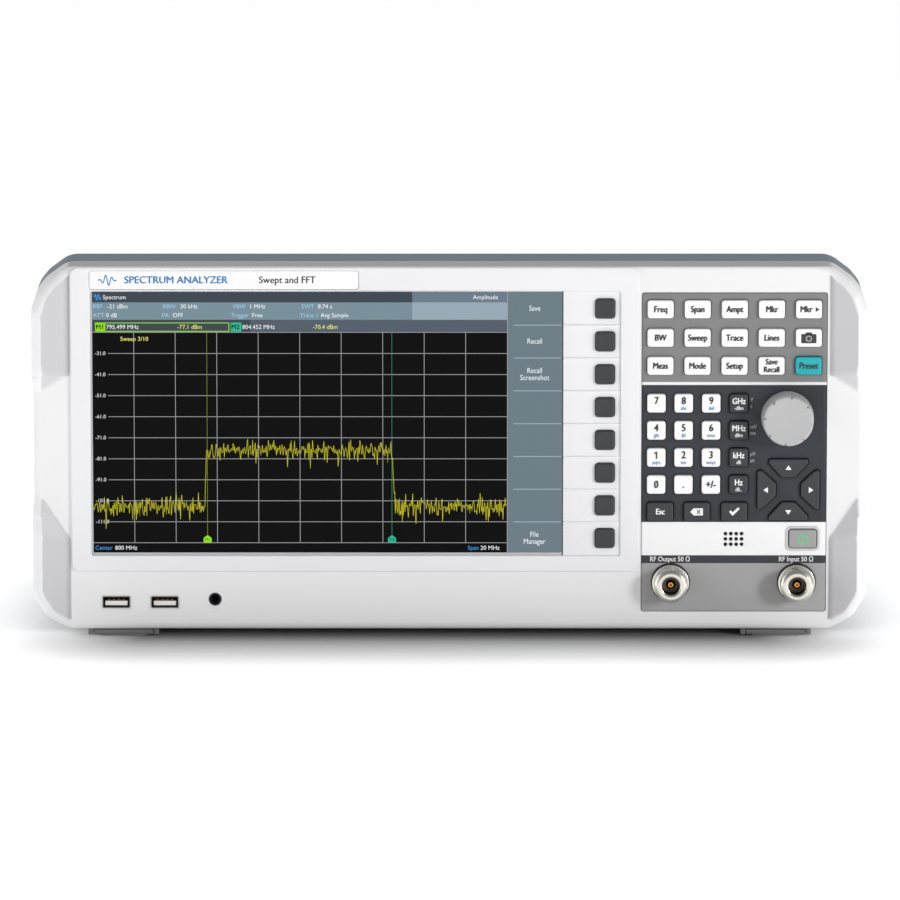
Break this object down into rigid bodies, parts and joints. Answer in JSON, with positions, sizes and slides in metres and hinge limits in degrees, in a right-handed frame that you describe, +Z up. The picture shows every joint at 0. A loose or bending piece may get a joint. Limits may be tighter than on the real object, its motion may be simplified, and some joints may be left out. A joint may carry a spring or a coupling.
{
  "type": "spectrum analyzer",
  "caption": "Bench spectrum analyzer: white front with a wide display, soft keys, keypad, rotary knob, RF sockets and USB ports on a blue-grey housing with folding tilt feet.",
  "frame": {"origin": "middle of the footprint, on the bench", "axes": "+X right seen from the front, +Y to the rear, +Z up"},
  "size_m": [0.3964, 0.147, 0.178],
  "materials": {
    "bezel_white": "satin",
    "housing_blue_grey": "fine texture",
    "panel_grey": "fine texture",
    "dark_key": "satin",
    "white_key": "satin",
    "teal_key": "satin",
    "power_key": "satin",
    "knob_grey": "satin",
    "nickel": "satin nickel",
    "display_glass": "gloss",
    "port_black": "gloss",
    "circuit_board": "solder mask",
    "zinc_sheet": "zinc plated",
    "foot_grey": "matte",
    "screw_steel": "satin",
    "print_ink": "matte"
  },
  "bodies": {
    "chassis": {"front_bezel": "bezel_white", "rear_housing": "housing_blue_grey", "display_module": "display_glass", "keypad_panel": "panel_grey", "keypad_board": "circuit_board", "rf_output_connector": "nickel", "rf_input_connector": "nickel", "front_io_module": "port_black", "main_board": "circuit_board", "power_supply": "zinc_sheet"},
    "rotary_knob": {"rotary_knob": "knob_grey"},
    "tilt_foot_left": {"tilt_foot_left": "foot_grey"},
    "tilt_foot_right": {"tilt_foot_right": "foot_grey"},
    "soft_key_1": {"soft_key_1": "dark_key"},
    "soft_key_2": {"soft_key_2": "dark_key"},
    "soft_key_3": {"soft_key_3": "dark_key"},
    "soft_key_4": {"soft_key_4": "dark_key"},
    "soft_key_5": {"soft_key_5": "dark_key"},
    "soft_key_6": {"soft_key_6": "dark_key"},
    "soft_key_7": {"soft_key_7": "dark_key"},
    "soft_key_8": {"soft_key_8": "dark_key"},
    "frequency_key": {"frequency_key": "white_key"},
    "span_key": {"span_key": "white_key"},
    "amplitude_key": {"amplitude_key": "white_key"},
    "marker_key": {"marker_key": "white_key"},
    "marker_to_key": {"marker_to_key": "white_key"},
    "bandwidth_key": {"bandwidth_key": "white_key"},
    "sweep_key": {"sweep_key": "white_key"},
    "trace_key": {"trace_key": "white_key"},
    "lines_key": {"lines_key": "white_key"},
    "screenshot_key": {"screenshot_key": "white_key"},
    "measure_key": {"measure_key": "white_key"},
    "mode_key": {"mode_key": "white_key"},
    "setup_key": {"setup_key": "white_key"},
    "save_recall_key": {"save_recall_key": "white_key"},
    "preset_key": {"preset_key": "teal_key"},
    "key_7": {"key_7": "white_key"},
    "key_8": {"key_8": "white_key"},
    "key_9": {"key_9": "white_key"},
    "key_4": {"key_4": "white_key"},
    "key_5": {"key_5": "white_key"},
    "key_6": {"key_6": "white_key"},
    "key_1": {"key_1": "white_key"},
    "key_2": {"key_2": "white_key"},
    "key_3": {"key_3": "white_key"},
    "key_0": {"key_0": "white_key"},
    "key_point": {"key_point": "white_key"},
    "key_sign": {"key_sign": "white_key"},
    "unit_key_ghz": {"unit_key_ghz": "dark_key"},
    "unit_key_mhz": {"unit_key_mhz": "dark_key"},
    "unit_key_khz": {"unit_key_khz": "dark_key"},
    "unit_key_hz": {"unit_key_hz": "dark_key"},
    "escape_key": {"escape_key": "dark_key"},
    "backspace_key": {"backspace_key": "dark_key"},
    "enter_key": {"enter_key": "dark_key"},
    "arrow_right": {"arrow_right": "dark_key"},
    "arrow_up": {"arrow_up": "dark_key"},
    "arrow_left": {"arrow_left": "dark_key"},
    "arrow_down": {"arrow_down": "dark_key"},
    "power_button": {"power_button": "power_key"}
  },
  "joints": [
    {"name": "knob_turn", "type": "hinge", "parent": "chassis", "child": "rotary_knob", "pos_m": [0.1598, -0.066, 0.1063], "axis": [0, -1, 0], "continuous": true},
    {"name": "tilt_foot_left_fold", "type": "hinge", "parent": "chassis", "child": "tilt_foot_left", "pos_m": [-0.155, -0.053, 0.002], "axis": [-1, 0, 0], "range_deg": [0, 92]},
    {"name": "tilt_foot_right_fold", "type": "hinge", "parent": "chassis", "child": "tilt_foot_right", "pos_m": [0.155, -0.053, 0.002], "axis": [-1, 0, 0], "range_deg": [0, 92]},
    {"name": "soft_key_1_press", "type": "slide", "parent": "chassis", "child": "soft_key_1", "axis": [0, 1, 0], "range_m": [0, 0.0012], "stiffness_N_per_m": 600, "springref_m": -0.001},
    {"name": "soft_key_2_press", "type": "slide", "parent": "chassis", "child": "soft_key_2", "axis": [0, 1, 0], "range_m": [0, 0.0012], "stiffness_N_per_m": 600, "springref_m": -0.001},
    {"name": "soft_key_3_press", "type": "slide", "parent": "chassis", "child": "soft_key_3", "axis": [0, 1, 0], "range_m": [0, 0.0012], "stiffness_N_per_m": 600, "springref_m": -0.001},
    {"name": "soft_key_4_press", "type": "slide", "parent": "chassis", "child": "soft_key_4", "axis": [0, 1, 0], "range_m": [0, 0.0012], "stiffness_N_per_m": 600, "springref_m": -0.001},
    {"name": "soft_key_5_press", "type": "slide", "parent": "chassis", "child": "soft_key_5", "axis": [0, 1, 0], "range_m": [0, 0.0012], "stiffness_N_per_m": 600, "springref_m": -0.001},
    {"name": "soft_key_6_press", "type": "slide", "parent": "chassis", "child": "soft_key_6", "axis": [0, 1, 0], "range_m": [0, 0.0012], "stiffness_N_per_m": 600, "springref_m": -0.001},
    {"name": "soft_key_7_press", "type": "slide", "parent": "chassis", "child": "soft_key_7", "axis": [0, 1, 0], "range_m": [0, 0.0012], "stiffness_N_per_m": 600, "springref_m": -0.001},
    {"name": "soft_key_8_press", "type": "slide", "parent": "chassis", "child": "soft_key_8", "axis": [0, 1, 0], "range_m": [0, 0.0012], "stiffness_N_per_m": 600, "springref_m": -0.001},
    {"name": "frequency_key_press", "type": "slide", "parent": "chassis", "child": "frequency_key", "axis": [0, 1, 0], "range_m": [0, 0.0012], "stiffness_N_per_m": 600, "springref_m": -0.001},
    {"name": "span_key_press", "type": "slide", "parent": "chassis", "child": "span_key", "axis": [0, 1, 0], "range_m": [0, 0.0012], "stiffness_N_per_m": 600, "springref_m": -0.001},
    {"name": "amplitude_key_press", "type": "slide", "parent": "chassis", "child": "amplitude_key", "axis": [0, 1, 0], "range_m": [0, 0.0012], "stiffness_N_per_m": 600, "springref_m": -0.001},
    {"name": "marker_key_press", "type": "slide", "parent": "chassis", "child": "marker_key", "axis": [0, 1, 0], "range_m": [0, 0.0012], "stiffness_N_per_m": 600, "springref_m": -0.001},
    {"name": "marker_to_key_press", "type": "slide", "parent": "chassis", "child": "marker_to_key", "axis": [0, 1, 0], "range_m": [0, 0.0012], "stiffness_N_per_m": 600, "springref_m": -0.001},
    {"name": "bandwidth_key_press", "type": "slide", "parent": "chassis", "child": "bandwidth_key", "axis": [0, 1, 0], "range_m": [0, 0.0012], "stiffness_N_per_m": 600, "springref_m": -0.001},
    {"name": "sweep_key_press", "type": "slide", "parent": "chassis", "child": "sweep_key", "axis": [0, 1, 0], "range_m": [0, 0.0012], "stiffness_N_per_m": 600, "springref_m": -0.001},
    {"name": "trace_key_press", "type": "slide", "parent": "chassis", "child": "trace_key", "axis": [0, 1, 0], "range_m": [0, 0.0012], "stiffness_N_per_m": 600, "springref_m": -0.001},
    {"name": "lines_key_press", "type": "slide", "parent": "chassis", "child": "lines_key", "axis": [0, 1, 0], "range_m": [0, 0.0012], "stiffness_N_per_m": 600, "springref_m": -0.001},
    {"name": "screenshot_key_press", "type": "slide", "parent": "chassis", "child": "screenshot_key", "axis": [0, 1, 0], "range_m": [0, 0.0012], "stiffness_N_per_m": 600, "springref_m": -0.001},
    {"name": "measure_key_press", "type": "slide", "parent": "chassis", "child": "measure_key", "axis": [0, 1, 0], "range_m": [0, 0.0012], "stiffness_N_per_m": 600, "springref_m": -0.001},
    {"name": "mode_key_press", "type": "slide", "parent": "chassis", "child": "mode_key", "axis": [0, 1, 0], "range_m": [0, 0.0012], "stiffness_N_per_m": 600, "springref_m": -0.001},
    {"name": "setup_key_press", "type": "slide", "parent": "chassis", "child": "setup_key", "axis": [0, 1, 0], "range_m": [0, 0.0012], "stiffness_N_per_m": 600, "springref_m": -0.001},
    {"name": "save_recall_key_press", "type": "slide", "parent": "chassis", "child": "save_recall_key", "axis": [0, 1, 0], "range_m": [0, 0.0012], "stiffness_N_per_m": 600, "springref_m": -0.001},
    {"name": "preset_key_press", "type": "slide", "parent": "chassis", "child": "preset_key", "axis": [0, 1, 0], "range_m": [0, 0.0012], "stiffness_N_per_m": 600, "springref_m": -0.001},
    {"name": "key_7_press", "type": "slide", "parent": "chassis", "child": "key_7", "axis": [0, 1, 0], "range_m": [0, 0.0012], "stiffness_N_per_m": 600, "springref_m": -0.001},
    {"name": "key_8_press", "type": "slide", "parent": "chassis", "child": "key_8", "axis": [0, 1, 0], "range_m": [0, 0.0012], "stiffness_N_per_m": 600, "springref_m": -0.001},
    {"name": "key_9_press", "type": "slide", "parent": "chassis", "child": "key_9", "axis": [0, 1, 0], "range_m": [0, 0.0012], "stiffness_N_per_m": 600, "springref_m": -0.001},
    {"name": "key_4_press", "type": "slide", "parent": "chassis", "child": "key_4", "axis": [0, 1, 0], "range_m": [0, 0.0012], "stiffness_N_per_m": 600, "springref_m": -0.001},
    {"name": "key_5_press", "type": "slide", "parent": "chassis", "child": "key_5", "axis": [0, 1, 0], "range_m": [0, 0.0012], "stiffness_N_per_m": 600, "springref_m": -0.001},
    {"name": "key_6_press", "type": "slide", "parent": "chassis", "child": "key_6", "axis": [0, 1, 0], "range_m": [0, 0.0012], "stiffness_N_per_m": 600, "springref_m": -0.001},
    {"name": "key_1_press", "type": "slide", "parent": "chassis", "child": "key_1", "axis": [0, 1, 0], "range_m": [0, 0.0012], "stiffness_N_per_m": 600, "springref_m": -0.001},
    {"name": "key_2_press", "type": "slide", "parent": "chassis", "child": "key_2", "axis": [0, 1, 0], "range_m": [0, 0.0012], "stiffness_N_per_m": 600, "springref_m": -0.001},
    {"name": "key_3_press", "type": "slide", "parent": "chassis", "child": "key_3", "axis": [0, 1, 0], "range_m": [0, 0.0012], "stiffness_N_per_m": 600, "springref_m": -0.001},
    {"name": "key_0_press", "type": "slide", "parent": "chassis", "child": "key_0", "axis": [0, 1, 0], "range_m": [0, 0.0012], "stiffness_N_per_m": 600, "springref_m": -0.001},
    {"name": "key_point_press", "type": "slide", "parent": "chassis", "child": "key_point", "axis": [0, 1, 0], "range_m": [0, 0.0012], "stiffness_N_per_m": 600, "springref_m": -0.001},
    {"name": "key_sign_press", "type": "slide", "parent": "chassis", "child": "key_sign", "axis": [0, 1, 0], "range_m": [0, 0.0012], "stiffness_N_per_m": 600, "springref_m": -0.001},
    {"name": "unit_key_ghz_press", "type": "slide", "parent": "chassis", "child": "unit_key_ghz", "axis": [0, 1, 0], "range_m": [0, 0.0012], "stiffness_N_per_m": 600, "springref_m": -0.001},
    {"name": "unit_key_mhz_press", "type": "slide", "parent": "chassis", "child": "unit_key_mhz", "axis": [0, 1, 0], "range_m": [0, 0.0012], "stiffness_N_per_m": 600, "springref_m": -0.001},
    {"name": "unit_key_khz_press", "type": "slide", "parent": "chassis", "child": "unit_key_khz", "axis": [0, 1, 0], "range_m": [0, 0.0012], "stiffness_N_per_m": 600, "springref_m": -0.001},
    {"name": "unit_key_hz_press", "type": "slide", "parent": "chassis", "child": "unit_key_hz", "axis": [0, 1, 0], "range_m": [0, 0.0012], "stiffness_N_per_m": 600, "springref_m": -0.001},
    {"name": "escape_key_press", "type": "slide", "parent": "chassis", "child": "escape_key", "axis": [0, 1, 0], "range_m": [0, 0.0012], "stiffness_N_per_m": 600, "springref_m": -0.001},
    {"name": "backspace_key_press", "type": "slide", "parent": "chassis", "child": "backspace_key", "axis": [0, 1, 0], "range_m": [0, 0.0012], "stiffness_N_per_m": 600, "springref_m": -0.001},
    {"name": "enter_key_press", "type": "slide", "parent": "chassis", "child": "enter_key", "axis": [0, 1, 0], "range_m": [0, 0.0012], "stiffness_N_per_m": 600, "springref_m": -0.001},
    {"name": "arrow_right_press", "type": "slide", "parent": "chassis", "child": "arrow_right", "axis": [0, 1, 0], "range_m": [0, 0.0012], "stiffness_N_per_m": 600, "springref_m": -0.001},
    {"name": "arrow_up_press", "type": "slide", "parent": "chassis", "child": "arrow_up", "axis": [0, 1, 0], "range_m": [0, 0.0012], "stiffness_N_per_m": 600, "springref_m": -0.001},
    {"name": "arrow_left_press", "type": "slide", "parent": "chassis", "child": "arrow_left", "axis": [0, 1, 0], "range_m": [0, 0.0012], "stiffness_N_per_m": 600, "springref_m": -0.001},
    {"name": "arrow_down_press", "type": "slide", "parent": "chassis", "child": "arrow_down", "axis": [0, 1, 0], "range_m": [0, 0.0012], "stiffness_N_per_m": 600, "springref_m": -0.001},
    {"name": "power_button_press", "type": "slide", "parent": "chassis", "child": "power_button", "axis": [0, 1, 0], "range_m": [0, 0.0012], "stiffness_N_per_m": 600, "springref_m": -0.001}
  ]
}
